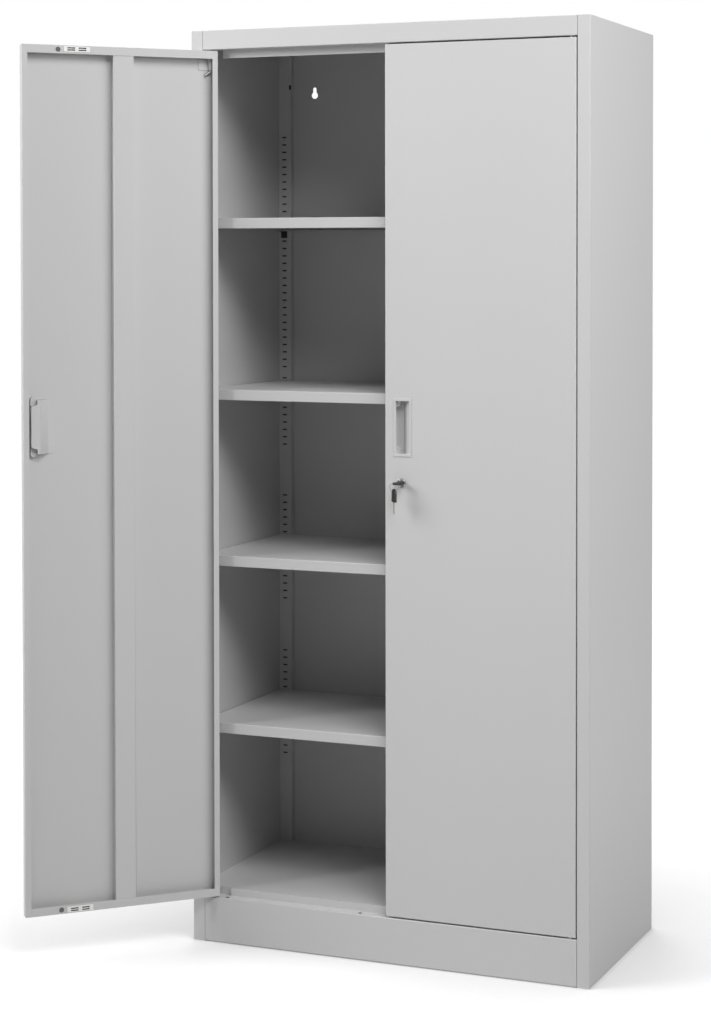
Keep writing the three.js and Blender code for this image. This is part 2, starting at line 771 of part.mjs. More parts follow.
function hingeBarrel() {
  const tube = uprightRod(0, 0, [barrelBottom, barrelTop], boreRadius + barrelWall);
  const plate = block(
    [-barrelPlateLength, barrelWall],
    [skinBack + fit, skinBack + fit + barrelPlateThickness],
    [barrelBottom, barrelBottom + barrelPlateHeight],
  );
  const boreSpan = [barrelBottom + barrelFloor, barrelTop + cutOverrun];
  const bore = uprightRod(0, 0, boreSpan, boreRadius, holeSides);
  const hole = uprightRod(0, 0, [barrelBottom - cutOverrun, barrelTop], pinRadius + fit, holeSides);
  return cut(joined([tube, plate]), [bore, hole]);
}

function hingePin() {
  const top = railBottom + pinReach;
  const kneeZ = barrelBottom - fit - pinRadius - pinLegStart;
  const knee = new THREE.Vector3(0, 0, kneeZ);
  const legEnd = new THREE.Vector3(-pinLegReach, 0, kneeZ - pinLegDrop);
  const elbow = new THREE.SphereGeometry(pinRadius, pinSides / 2, arcSteps);
  elbow.translate(0, 0, kneeZ);
  return joined([
    uprightRod(0, 0, [kneeZ, top], pinRadius),
    uprightRod(0, 0, [springTop + fit, springTop + fit + collarHeight], springOuter),
    solidOf(elbow),
    barBetween(knee, legEnd, pinRadius),
  ]);
}

function pinSpring() {
  const body = uprightRod(0, 0, [springBottom, springTop], springOuter);
  const boreSpan = [springBottom - cutOverrun, springTop + cutOverrun];
  return cut(body, [uprightRod(0, 0, boreSpan, springInner, holeSides)]);
}

// Bottom hinge: a fixed pin on a plate inside the door, with a shoulder that carries it on the ledge
function footPin() {
  const plateBottom = doorBottom + sheet + fit;
  const plateSpanZ = [plateBottom, plateBottom + footPlateThickness];
  return joined([
    uprightRod(0, 0, [plinthHeight - pinReach, doorBottom + footPinHeight], pinRadius),
    uprightRod(0, 0, [plinthHeight + fit, doorBottom - fit], footShoulderRadius),
    block([-footPlateSide, footPlateSide], [skinBack + fit, footPlateSide], plateSpanZ),
  ]);
}

// Cam lock: housing, nut, turning plug, cam and its screw
const lockFaceY = outerFace - fit - lockFlangeThickness;
const housingBack = outerFace - fit + lockBarrelLength + fit;
const camFront = innerFace + fit + fit;

function lockHousing() {
  const flange = levelRod(lockX, [lockFaceY, outerFace - fit], lockHeight, lockFlangeRadius);
  const barrel = levelRod(lockX, [outerFace - fit, housingBack], lockHeight, lockBarrelRadius);
  const boreSpan = [lockFaceY - cutOverrun, housingBack + cutOverrun];
  const bore = levelRod(lockX, boreSpan, lockHeight, plugRadius + fit);
  return cut(joined([flange, barrel]), [bore]);
}

function lockNut() {
  const span = [skinBack + fit, skinBack + fit + lockNutThickness];
  const nut = levelRod(lockX, span, lockHeight, lockNutRadius, nutSides);
  const holeSpan = [span[0] - cutOverrun, span[1] + cutOverrun];
  const hole = levelRod(lockX, holeSpan, lockHeight, lockBarrelRadius + fit);
  return cut(nut, [hole]);
}

function squareBar(half, [y0, y1]) {
  return block([lockX - half, lockX + half], [y0, y1], [lockHeight - half, lockHeight + half]);
}

function lockPlug() {
  const body = levelRod(lockX, [lockFaceY, housingBack + fit / 2], lockHeight, plugRadius);
  const stub = squareBar(plugStub, [housingBack - plugStub, camFront + plugStubLength]);
  const slotEnd = lockFaceY - keyShoulderGap + keyBladeLength + fit;
  const slot = block(
    [lockX - keyBladeWidth / 2 - fit, lockX + keyBladeWidth / 2 + fit],
    [lockFaceY - cutOverrun, slotEnd],
    [lockHeight - keySlotHeight / 2, lockHeight + keySlotHeight / 2],
  );
  const screwEnd = camFront + plugStubLength - (camScrewLength - fit);
  const tapSpan = [screwEnd, camFront + plugStubLength + cutOverrun];
  const tap = levelRod(lockX, tapSpan, lockHeight, camScrewRadius + fit);
  return cut(joined([body, stub]), [slot, tap]);
}

// The cam hangs down at rest and reaches behind the other door when it is turned
function lockCam() {
  const half = camWidth / 2;
  const shape = new THREE.Shape();
  const tip = lockHeight - camReach + half;
  shape.absarc(lockX, lockHeight, half, 0, Math.PI, false);
  shape.absarc(lockX, tip, half, Math.PI, Math.PI * 2, false);
  shape.closePath();
  const plate = fromFront(shape, [camFront, camFront + camThickness]);
  const holeSpan = [camFront - cutOverrun, camFront + camThickness + cutOverrun];
  return cut(plate, [squareBar(plugStub + fit, holeSpan)]);
}

function camScrew() {
  const headFront = camFront + plugStubLength + fit;
  const headBack = headFront + camScrewHeadHeight;
  const head = levelRod(lockX, [headFront, headBack], lockHeight, camScrewHeadRadius);
  const shankEnd = headFront - camScrewLength + fit + fit;
  return joined([head, levelRod(lockX, [shankEnd, headBack], lockHeight, camScrewRadius)]);
}

// A key drawn flat in x and y: a moulded bow with its near edge at y = 0, and a toothed blade towards +y
function keyWithBow() {
  return joined([keyBow(), keyBlade()]);
}

function keyBow() {
  const round = bowWidth / 2;
  const shape = new THREE.Shape();
  shape.moveTo(-round, round - bowLength);
  shape.absarc(0, round - bowLength, round, Math.PI, Math.PI * 2, false);
  shape.lineTo(round, -bowChamfer);
  shape.lineTo(round - bowChamfer, 0);
  shape.lineTo(bowChamfer - round, 0);
  shape.lineTo(-round, -bowChamfer);
  const hole = new THREE.Path();
  hole.absarc(0, bowHoleInset - bowLength, bowHoleRadius, 0, Math.PI * 2, true);
  shape.holes.push(hole);
  return raised(shape, [-bowThickness / 2, bowThickness / 2]);
}

function keyBlade() {
  const half = keyBladeWidth / 2;
  const points = [[-half, -keyBladeRoot], [half, -keyBladeRoot], [half, keyBladeLength - half]];
  points.push([0, keyBladeLength]);
  const firstTooth = keyBladeLength - half - keyToothPitch / 2;
  for (let i = 0; i < keyTeeth; i += 1) {
    const tip = firstTooth - i * keyToothPitch;
    points.push([-half, tip], [-half + keyTooth, tip - keyToothPitch / 2]);
  }
  points.push([-half, firstTooth - keyTeeth * keyToothPitch]);
  return raised(outline(points), [-keyBladeThickness / 2, keyBladeThickness / 2]);
}

function keyRing() {
  const geometry = new THREE.TorusGeometry(ringRadius, ringWireRadius, ringSides, ringSteps);
  return solidOf(geometry);
}

// The root holds everything that stands still, drawn from the front plane back
const cabinet = new THREE.Group();
cabinet.position.y = -plinthFoot / 2;

for (const side of ['left', 'right']) {
  addPiece(cabinet, `side_panel_${side}`, sided(sidePanel(), side), bodyPaint);
  addPiece(cabinet, `front_upright_${side}`, sided(upright(false), side), bodyPaint);
  addPiece(cabinet, `rear_upright_${side}`, sided(upright(true), side), bodyPaint);
}
addPiece(cabinet, 'top_panel', topPanel(), bodyPaint);
addPiece(cabinet, 'base_panel', basePanel(), bodyPaint);
addPiece(cabinet, 'back_panel', backPanel(), bodyPaint);
shelfTops.forEach((shelfTop, i) => {
  addPiece(cabinet, `shelf_${i + 1}`, shelf(shelfTop), bodyPaint);
  addShelfClips(cabinet, shelfTop, i + 1);
});

// Each door hangs on its pivot line. The left one stands open.
const doorGroups = {};
for (const side of ['left', 'right']) {
  const door = new THREE.Group();
  door.position.set(side === 'right' ? pivotX : -pivotX, pivotDepth, 0);
  door.rotation.z = side === 'right' ? 0 : -THREE.MathUtils.degToRad(openAngle);
  cabinet.add(door);
  doorGroups[side] = door;
  addPiece(door, `${side}_door_skin`, sided(doorSkin(side === 'right'), side), bodyPaint);
  addPiece(door, `${side}_door_stiffener`, sided(stiffener(), side), bodyPaint);
  addPiece(door, `${side}_handle_cup`, sided(handleCup(), side), handlePlastic);
  addPiece(door, `${side}_catch_top`, sided(catchHousing(true), side), catchPlastic);
  addPiece(door, `${side}_catch_bottom`, sided(catchHousing(false), side), catchPlastic);
  addPiece(door, `${side}_bumper_top`, sided(bumper(doorTop - bumperEdge), side), bumperRubber);
  addPiece(door, `${side}_bumper_bottom`, sided(bumper(doorBottom + bumperEdge), side), bumperRubber);
  addPiece(door, `${side}_hinge_barrel`, sided(hingeBarrel(), side), bodyPaint);
  addPiece(door, `${side}_hinge_pin`, sided(hingePin(), side), zincSteel);
  addPiece(door, `${side}_hinge_spring`, sided(pinSpring(), side), darkSteel);
  addPiece(door, `${side}_foot_pin`, sided(footPin(), side), zincSteel);
}

const rightDoor = doorGroups.right;
addPiece(rightDoor, 'lock_housing', lockHousing(), chrome);
addPiece(rightDoor, 'lock_nut', lockNut(), zincSteel);
addPiece(rightDoor, 'lock_plug', lockPlug(), chrome);
addPiece(rightDoor, 'lock_cam', lockCam(), zincSteel);
addPiece(rightDoor, 'cam_screw', camScrew(), zincSteel);

// The key lies flat in the lock
const key = new THREE.Group();
key.position.set(lockX, lockFaceY - keyShoulderGap, lockHeight);
rightDoor.add(key);
addPiece(key, 'key', keyWithBow(), keyPlastic);

// The ring hangs from the key's hole over the corner of the bow, turned to the left
const ringAngle = THREE.MathUtils.degToRad(ringTurn);
const holeOffset = bowWidth / 2 - bowHoleInset;
const bowEdge = Math.sqrt((bowWidth / 2) ** 2 - (holeOffset * Math.sin(ringAngle)) ** 2)
  - holeOffset * Math.cos(ringAngle);
const rimHalf = (bowEdge - bowHoleRadius) / 2;
const ringReach = bowHoleRadius + rimHalf;
const ringDrop = Math.sqrt((ringRadius - ringWireRadius) ** 2 - (rimHalf + fit) ** 2) - bowThickness / 2;
const ringFrame = new THREE.Group();
ringFrame.position.set(0, bowHoleInset - bowLength, 0);
ringFrame.rotation.z = ringAngle + Math.PI;
key.add(ringFrame);
const ringHolder = new THREE.Group();
ringHolder.position.set(ringReach, 0, -ringDrop);
ringHolder.rotation.x = Math.PI / 2;
ringFrame.add(ringHolder);
addPiece(ringHolder, 'key_ring', keyRing(), chrome);

// The spare key hangs on the bottom of the ring, square to it, with its blade down
const spareDrop = ringDrop + ringRadius + bowHoleRadius - ringWireRadius - fit;
const spare = new THREE.Group();
spare.position.set(ringReach, 0, -spareDrop - bowLength + bowHoleInset);
spare.rotation.set(-Math.PI / 2, 0, Math.PI / 2, 'ZYX');
ringFrame.add(spare);
addPiece(spare, 'spare_key', keyWithBow(), keyPlastic);

export default cabinet;
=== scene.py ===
import json
import math

import bmesh
import bpy
from mathutils import Matrix, Vector


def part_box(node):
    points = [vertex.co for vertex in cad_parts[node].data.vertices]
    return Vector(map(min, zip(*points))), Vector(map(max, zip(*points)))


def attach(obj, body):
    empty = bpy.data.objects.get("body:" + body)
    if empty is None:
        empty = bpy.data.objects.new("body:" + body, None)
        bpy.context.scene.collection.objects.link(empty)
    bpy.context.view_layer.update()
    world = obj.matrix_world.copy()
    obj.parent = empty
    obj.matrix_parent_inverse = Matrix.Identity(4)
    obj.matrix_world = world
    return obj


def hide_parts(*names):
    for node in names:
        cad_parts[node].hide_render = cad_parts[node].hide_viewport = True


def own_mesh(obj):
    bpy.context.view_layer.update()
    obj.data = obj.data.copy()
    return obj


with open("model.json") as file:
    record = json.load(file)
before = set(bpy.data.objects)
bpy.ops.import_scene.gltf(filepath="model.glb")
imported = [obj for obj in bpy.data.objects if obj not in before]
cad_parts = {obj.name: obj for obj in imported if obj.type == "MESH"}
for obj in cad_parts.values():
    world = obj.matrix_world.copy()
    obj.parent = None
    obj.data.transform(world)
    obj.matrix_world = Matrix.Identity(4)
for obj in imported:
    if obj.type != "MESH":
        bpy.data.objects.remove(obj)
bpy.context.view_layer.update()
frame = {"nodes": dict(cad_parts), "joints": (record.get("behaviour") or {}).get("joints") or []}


# The view
# The camera stands to the right of the doors, at three quarters of their height, and looks very slightly
# down. Its lens is shifted down and to the left, which keeps the upright edges close to parallel.
CAMERA_PLACE = Vector((1.7256, -3.9256, 1.3837))
CAMERA_TURN = math.radians(21.286)
CAMERA_DIP = math.radians(1.264)
LENS_MM = 77.022
LENS_SHIFT = (-0.1212, -0.1961)

camera_data = bpy.data.cameras.new("camera")
camera_data.lens = LENS_MM
camera_data.shift_x, camera_data.shift_y = LENS_SHIFT
camera = bpy.data.objects.new("camera", camera_data)
camera.location = CAMERA_PLACE
camera.rotation_euler = (math.pi / 2 - CAMERA_DIP, 0, CAMERA_TURN)
bpy.context.collection.objects.link(camera)
bpy.context.scene.camera = camera
bpy.context.scene.view_settings.view_transform = "Standard"


# The studio
# A seamless pale floor and three large soft lamps round the front, over a faint white dome. A fourth lights
# the back. The camera and polished metal see floor and dome as white, but for the shade round the foot.
FLOOR_SIDE = 30.0
FLOOR_GREY = "#c4c4c4"
FLOOR_LIFT = 0.57
FLOOR_LIFT_FAR = 1.0
NEAR_FLOOR = 0.8
FAR_FLOOR = 1.8
CONTACT_SHADE_REACH = 0.35
CONTACT_LINE_REACH = 0.012
SHADE_SAMPLES = 8
DOME_LIGHT = 0.06
LAMP_AIM = Vector((0.1, 0.0, 1.0))
# Each lamp's place and side in metres, and its power in watts.
SOFT_LAMPS = {
    "left_lamp": (Vector((-3.2, -2.2, 3.1)), 2.0, 132),
    "right_lamp": (Vector((2.2, -2.4, 4.3)), 2.0, 117),
    "side_lamp": (Vector((2.4, -0.7, 2.3)), 1.4, 29),
    "back_lamp": (Vector((-1.6, 3.2, 3.6)), 2.0, 50),
}


def linear(hex_colour):
    """An sRGB hex colour as linear red, green, blue and alpha."""
    channels = [int(hex_colour[i:i + 2], 16) / 255 for i in (1, 3, 5)]
    return tuple(c / 12.92 if c <= 0.04045 else ((c + 0.055) / 1.055) ** 2.4 for c in channels) + (1.0,)


def add_node(tree, kind, inputs, **settings):
    """A shader node with its settings, whose inputs are values or the sockets that feed them."""
    made = tree.nodes.new(kind)
    for name, value in settings.items():
        setattr(made, name, value)
    for name, value in inputs.items():
        if isinstance(value, bpy.types.NodeSocket):
            tree.links.new(value, made.inputs[name])
        else:
            made.inputs[name].default_value = value
    return made


def maths(tree, operation, *terms):
    """The output of a maths node over values or sockets."""
    return add_node(tree, "ShaderNodeMath", dict(enumerate(terms)), operation=operation).outputs[0]


def seen_directly(tree):
    """1 on what is seen straight, in a mirror or through glass, and 0 for the light that falls on things."""
    path = add_node(tree, "ShaderNodeLightPath", {})
    straight, mirrored, through = (
        path.outputs[f"Is {kind} Ray"] for kind in ("Camera", "Glossy", "Transmission")
    )
    return maths(tree, "MAXIMUM", maths(tree, "MAXIMUM", straight, mirrored), through)


def soft_lamp(name, place, aim, side, watts):
    """A square lamp that faces a point."""
    data = bpy.data.lights.new(name, "AREA")
    data.shape = "SQUARE"
    data.size = side
    data.energy = watts
    lamp = bpy.data.objects.new(name, data)
    lamp.location = place
    lamp.rotation_euler = (aim - place).to_track_quat("-Z", "Y").to_euler()
    bpy.context.collection.objects.link(lamp)


floor_mesh = bpy.data.meshes.new("floor")
half = FLOOR_SIDE / 2
floor_corners = [(-half, -half, 0), (half, -half, 0), (half, half, 0), (-half, half, 0)]
floor_mesh.from_pydata(floor_corners, [], [range(len(floor_corners))])
floor = bpy.data.objects.new("floor", floor_mesh)
bpy.context.collection.objects.link(floor)

floor_paint = bpy.data.materials.new("studio_floor")
floor_paint.use_nodes = True
tree = floor_paint.node_tree
tree.nodes.clear()
matt = add_node(tree, "ShaderNodeBsdfDiffuse", {"Color": linear(FLOOR_GREY)})
place = add_node(tree, "ShaderNodeTexCoord", {}).outputs["Object"]
away = add_node(tree, "ShaderNodeVectorMath", {0: place}, operation="LENGTH")
lift = add_node(tree, "ShaderNodeMapRange", {
    "Value": away.outputs["Value"],
    "From Min": NEAR_FLOOR,
    "From Max": FAR_FLOOR,
    "To Min": FLOOR_LIFT,
    "To Max": FLOOR_LIFT_FAR,
})
open_sky, open_edge = (
    add_node(tree, "ShaderNodeAmbientOcclusion", {"Distance": distance}, samples=SHADE_SAMPLES).outputs["AO"]
    for distance in (CONTACT_SHADE_REACH, CONTACT_LINE_REACH)
)
shaded = maths(tree, "MULTIPLY", lift.outputs[0], maths(tree, "MULTIPLY", open_sky, open_edge))
seen = maths(tree, "MULTIPLY", seen_directly(tree), shaded)
glow = add_node(tree, "ShaderNodeEmission", {"Strength": seen})
both = add_node(tree, "ShaderNodeAddShader", {0: matt.outputs[0], 1: glow.outputs[0]})
add_node(tree, "ShaderNodeOutputMaterial", {"Surface": both.outputs[0]})
floor_mesh.materials.append(floor_paint)

dome = bpy.data.worlds.new("dome")
bpy.context.scene.world = dome
dome.use_nodes = True
tree = dome.node_tree
tree.nodes.clear()
plain = maths(tree, "MULTIPLY", seen_directly(tree), 1 - DOME_LIGHT)
white = add_node(tree, "ShaderNodeBackground", {"Strength": maths(tree, "ADD", plain, DOME_LIGHT)})
white.inputs["Color"].default_value = (1, 1, 1, 1)
add_node(tree, "ShaderNodeOutputWorld", {"Surface": white.outputs[0]})

for lamp, (place, side, watts) in SOFT_LAMPS.items():
    soft_lamp(lamp, place, LAMP_AIM, side, watts)


# The body panels
# Cold-rolled steel sheet, 0.8 mm thick, punched flat, folded on a press brake and powder coated. The two
# sides, the top, the base and the back fit into each other's flanges. Every bend has a small round edge,
# and those that stand on the floor a larger one.
BEND_OUTSIDE = 0.0014
BEND_INSIDE = 0.0006
FOOT_BEND_OUTSIDE = 0.003
FOOT_BEND_INSIDE = 0.0022
BEND_STEPS = 5
BEND_LEAST_TURN = math.radians(60)
BEND_LEAST_FLANGE = 0.0025
BEND_LEAST_LENGTH = 0.004
ROUND_PROFILE = 0.5
NORMAL_DIGITS = 3
SAME_POINT = 0.000002
LEAST_FACET = 0.00005
SAME_PLANE = math.radians(0.5)
SAME_WAY = math.cos(math.radians(2))
SHARP_FROM = math.radians(35)

PAINT_GREY = "#cacaca"
PAINT_GREY_CLOUD = "#c7c7c7"
CLOUD_SPACING = 0.35
PEEL_SPACING = 0.0022
PEEL_DEPTH = 0.00003
PAINT_ROUGHNESS = (0.40, 0.50)
PAINT_IOR = 1.5
CLOUD_DETAIL = 3.0
GRAIN_DETAIL = 2.0
EVEN_GRAIN = (1, 1, 1)


def sheet_surface(
    name, pale, dark, cloud_spacing, roughness, grain_spacing, grain_depth, ior=PAINT_IOR, metallic=0.0,
    grain_stretch=EVEN_GRAIN,
):
    """A material with a cloudy colour and a fine grain that catches light and varies the roughness."""
    material = bpy.data.materials.new(name)
    material.use_nodes = True
    tree = material.node_tree
    tree.nodes.clear()
    place = add_node(tree, "ShaderNodeTexCoord", {}).outputs["Object"]
    cloud_size = {"Vector": place, "Scale": 1 / cloud_spacing, "Detail": CLOUD_DETAIL}
    cloud = add_node(tree, "ShaderNodeTexNoise", cloud_size)
    colour = add_node(
        tree, "ShaderNodeMixRGB", {"Fac": cloud.outputs[0], "Color1": linear(dark), "Color2": linear(pale)}
    )
    stretched = add_node(tree, "ShaderNodeMapping", {"Vector": place, "Scale": grain_stretch})
    grain_size = {"Vector": stretched.outputs[0], "Scale": 1 / grain_spacing, "Detail": GRAIN_DETAIL}
    grain = add_node(tree, "ShaderNodeTexNoise", grain_size)
    smoothest, roughest = roughness
    gloss = add_node(
        tree, "ShaderNodeMapRange", {"Value": grain.outputs[0], "To Min": smoothest, "To Max": roughest}
    )
    relief = add_node(
        tree, "ShaderNodeBump", {"Height": grain.outputs[0], "Distance": grain_depth, "Strength": 1.0}
    )
    surface = add_node(tree, "ShaderNodeBsdfPrincipled", {
        "Base Color": colour.outputs[0],
        "Roughness": gloss.outputs[0],
        "Normal": relief.outputs[0],
        "IOR": ior,
        "Metallic": metallic,
    })
    add_node(tree, "ShaderNodeOutputMaterial", {"Surface": surface.outputs[0]})
    return material


def reach(edge, face):
    """How far a face runs away from one of its edges."""
    start = edge.verts[0].co
    along = (edge.verts[1].co - start).normalized()
    offsets = [corner.co - start for corner in face.verts]
    return max((offset - along * offset.dot(along)).length for offset in offsets)


def is_bend(edge, outside):
    """True for the outer or inner edge of a bend, and false where the sheet is cut."""
    if len(edge.link_faces) != 2 or edge.calc_length() < BEND_LEAST_LENGTH:
        return False
    turn = edge.calc_face_angle_signed()
    if abs(turn) < BEND_LEAST_TURN or (turn > 0) != outside:
        return False
    return all(reach(edge, face) > BEND_LEAST_FLANGE for face in edge.link_faces)


def round_edges(solid, edges, radius, steps=BEND_STEPS):
    """Rounds some edges of a solid to a radius. The round strips are shaded smooth, the flats stay flat."""
    flat_faces = [face for face in solid.faces if not face.smooth]
    flats = {tuple(round(part, NORMAL_DIGITS) for part in face.normal) for face in flat_faces}
    ways = [Vector(flat) for flat in flats]
    made = bmesh.ops.bevel(
        solid, geom=edges, offset=radius, offset_type="OFFSET", segments=steps,
        profile=ROUND_PROFILE, affect="EDGES", clamp_overlap=True,
    )
    for face in made["faces"]:
        face.normal_update()
        if all(face.normal.dot(way) < SAME_WAY for way in ways):
            face.smooth = True
    return solid


def is_curved(face):
    """True for a facet of a round pin or hole, and false for a flat face."""
    for edge in face.edges:
        heights = [2 * near.calc_area() / edge.calc_length() for near in edge.link_faces]
        if min(heights) > LEAST_FACET and SAME_PLANE < abs(edge.calc_face_angle_signed()) < SHARP_FROM:
            return True
    return False


def solid_of(node):
    """The CAD node's solid as an editable mesh."""
    solid = bmesh.new()
    solid.from_mesh(frame["nodes"][node].data)
    bmesh.ops.remove_doubles(solid, verts=solid.verts, dist=SAME_POINT)
    for face in solid.faces:
        face.smooth = is_curved(face)
    return solid


def add_piece(name, solid, material, body, node=None):
    """Puts a finished mesh in the scene as a piece of the cabinet that moves with a body."""
    mesh = bpy.data.meshes.new(name)
    bmesh.ops.triangulate(solid, faces=[face for face in solid.faces if len(face.verts) > 4])
    solid.to_mesh(mesh)
    smooth = [face.smooth for face in solid.faces]
    solid.free()
    mesh.set_sharp_from_angle(angle=SHARP_FROM)
    mesh.polygons.foreach_set("use_smooth", smooth)
    mesh.materials.append(material)
    piece = bpy.data.objects.new(name, mesh)
    bpy.context.collection.objects.link(piece)
    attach(piece, body)
    if node:
        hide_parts(node)
    return piece


def on_floor(edge):
    """True for an edge that lies in the sheet that stands on the floor."""
    return all(corner.co.z < BEND_OUTSIDE for corner in edge.verts)


def fold_sheet(node, body, coat=None):
    """A painted sheet-steel piece in place of its CAD node, with round bends."""
    solid = solid_of(node)
    for outside, at_foot, radius in (
        (True, False, BEND_OUTSIDE),
        (True, True, FOOT_BEND_OUTSIDE),
        (False, False, BEND_INSIDE),
        (False, True, FOOT_BEND_INSIDE),
    ):
        bends = [edge for edge in solid.edges if is_bend(edge, outside) and on_floor(edge) == at_foot]
        round_edges(solid, bends, radius)
    return add_piece(f"{node}_sheet", solid, coat or powder_coat, body, node)


# Polyester powder baked on steel: an even satin grey. It shows a faint orange peel and hardly any cloud.
# The real peel is about 1 mm across and is drawn at twice that, so that it shows.
powder_coat = sheet_surface(
    "powder_coated_steel", PAINT_GREY, PAINT_GREY_CLOUD, CLOUD_SPACING, PAINT_ROUGHNESS, PEEL_SPACING,
    PEEL_DEPTH,
)
for panel in ("side_panel_left", "side_panel_right", "top_panel", "base_panel"):
    fold_sheet(panel, "cabinet_body")


# The slotted uprights and the back
# Narrow folded channels in the four corners, of the same painted sheet, spot-welded inside the body. Their
# punched slots take the shelf clips. The hollow between the rear ones and the back panel gets painted shade.
# Painted shade: the near-black colour given to the hollow behind the rear uprights.
HOLLOW_PAINTED_SHADE = "#161717"
HALF_SHEET = 0.0004
SIDES = ("left", "right")

# The same coat with painted shade: a near-black colour in the hollow behind the rear uprights, so the slots
# show dark.
shaded_hollow_coat = powder_coat.copy()
shaded_hollow_coat.name = "powder_coated_steel_painted_shade_behind"
tree = shaded_hollow_coat.node_tree
upright_low, upright_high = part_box("rear_upright_right")
back_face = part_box("back_panel")[0].y
hollow_x = (upright_low.x + HALF_SHEET, upright_high.x)
hollow_y = (upright_low.y + HALF_SHEET, back_face + HALF_SHEET)
place = add_node(tree, "ShaderNodeTexCoord", {}).outputs["Object"]
spot = add_node(tree, "ShaderNodeSeparateXYZ", {"Vector": place})
aside = maths(tree, "ABSOLUTE", spot.outputs["X"])
within = [
    maths(tree, "COMPARE", where, (start + end) / 2, (end - start) / 2)
    for where, (start, end) in ((aside, hollow_x), (spot.outputs["Y"], hollow_y))
]
hidden = maths(tree, "MULTIPLY", *within)
surface = next(node for node in tree.nodes if node.type == "BSDF_PRINCIPLED")
painted = surface.inputs["Base Color"].links[0].from_socket
# Mixes the painted shade into the coat's colour inside the hollow.
coat_or_painted_shade = add_node(
    tree, "ShaderNodeMixRGB", {"Fac": hidden, "Color1": painted, "Color2": linear(HOLLOW_PAINTED_SHADE)}
)
tree.links.new(coat_or_painted_shade.outputs[0], surface.inputs["Base Color"])

fold_sheet("back_panel", "cabinet_body", shaded_hollow_coat)
for side in SIDES:
    fold_sheet(f"front_upright_{side}", "cabinet_body")
    fold_sheet(f"rear_upright_{side}", "cabinet_body", shaded_hollow_coat)


# The shelves
# Each is one sheet folded down on four sides, with a return along the front and the back, powder coated
# like the body. It lies loose on four clips.
SHELVES = 4
for number in range(1, SHELVES + 1):
    fold_sheet(f"shelf_{number}", f"shelf_{number}")


# The shelf clips
# Small pressed hooks of dark phosphated spring steel. Each one hangs in a slot of an upright, and its tongue
# carries a corner of the shelf.
CLIP_DARK = "#2b2c2e"
CLIP_PALE = "#3a3b3d"
CLIP_CLOUD_SPACING = 0.006
CLIP_GRAIN_SPACING = 0.0009
CLIP_GRAIN_DEPTH = 0.00002
CLIP_ROUGHNESS = (0.45, 0.62)
CLIP_METALLIC = 0.6
CLIP_EDGE = 0.0002
EASE_STEPS = 2


def ease_edges(solid, radius):
    """Rounds every sharp outer edge of a solid a little."""
    sharp = [
        edge for edge in solid.edges
        if len(edge.link_faces) == 2 and edge.calc_face_angle_signed() > SHARP_FROM
    ]
    return round_edges(solid, sharp, radius, EASE_STEPS)


# Zinc phosphate under oil on pressed steel: nearly black, matt, with a faint crystal mottle.
phosphated_steel = sheet_surface(
    "phosphated_spring_steel", CLIP_PALE, CLIP_DARK, CLIP_CLOUD_SPACING, CLIP_ROUGHNESS, CLIP_GRAIN_SPACING,
    CLIP_GRAIN_DEPTH, metallic=CLIP_METALLIC,
)
for number in range(1, SHELVES + 1):
    for end in ("front", "rear"):
        for side in SIDES:
            clip = f"shelf_clip_{number}_{end}_{side}"
            solid = ease_edges(solid_of(clip), CLIP_EDGE)
            add_piece(f"{clip}_pressing", solid, phosphated_steel, "cabinet_body", clip)


# The doors
# Each is one sheet folded into a shallow tray with lips turned in, and a folded channel spot-welded down
# the inside to keep it flat. Both are powder coated with the body. The left door stands open.
swings = {joint["child"]: joint for joint in frame["joints"] if joint["name"].endswith("_door_swing")}
door_pivot = {side: Vector(swings[f"{side}_door"]["pos_m"]) for side in SIDES}
left_door_turn = Matrix.Rotation(-math.radians(swings["left_door"]["range_deg"][1]), 4, "Z")


def hang(solid, side):
    """Takes a solid drawn on the closed right door to its place on the right or the open left door."""
    if side == "left":
        to_pivot = Matrix.Translation(-door_pivot["right"])
        mirrored = Matrix.Scale(-1, 4, Vector((1, 0, 0)))
        solid.transform(Matrix.Translation(door_pivot["left"]) @ left_door_turn @ mirrored @ to_pivot)
        bmesh.ops.reverse_faces(solid, faces=solid.faces)
    return solid


def door_front(side):
    """The direction that the outer face of a door looks in."""
    front = Vector((0, -1, 0))
    return left_door_turn @ front if side == "left" else front


for side in SIDES:
    fold_sheet(f"{side}_door_skin", f"{side}_door")
    fold_sheet(f"{side}_door_stiffener", f"{side}_door")


# The recessed handles
# One moulding of grey ABS in each door, pushed in from the front and held by its ears and wing behind the
# skin. Its hollow slopes back to a pocket for the fingertips.
HANDLE_GREY = "#cacaca"
HANDLE_GREY_CLOUD = "#c7c7c7"
HANDLE_CLOUD_SPACING = 0.05
HANDLE_GRAIN_SPACING = 0.0008
HANDLE_GRAIN_DEPTH = 0.00001
HANDLE_ROUGHNESS = (0.30, 0.40)
HANDLE_EDGE = 0.0003
HANDLE_RIM_EDGE = 0.0008
HANDLE_RIM_REACH = 0.0003
HANDLE_RIM_STEPS = 4
ABS_IOR = 1.53

# Injection-moulded ABS in a lightly etched mould, coloured to match the paint and a little smoother.
grey_abs = sheet_surface(
    "moulded_grey_abs", HANDLE_GREY, HANDLE_GREY_CLOUD, HANDLE_CLOUD_SPACING, HANDLE_ROUGHNESS,
    HANDLE_GRAIN_SPACING, HANDLE_GRAIN_DEPTH, ior=ABS_IOR,
)
for side in SIDES:
    solid = solid_of(f"{side}_handle_cup")
    out = door_front(side)
    front = max(corner.co.dot(out) for corner in solid.verts)
    rim = [
        edge for edge in solid.edges
        if edge.calc_face_angle_signed() > SHARP_FROM
        and all(corner.co.dot(out) > front - HANDLE_RIM_REACH for corner in edge.verts)
    ]
    round_edges(solid, rim, HANDLE_RIM_EDGE, HANDLE_RIM_STEPS)
    ease_edges(solid, HANDLE_EDGE)
    door, cup = f"{side}_door", f"{side}_handle_cup"
    add_piece(f"{side}_handle_moulding", solid, grey_abs, door, cup)


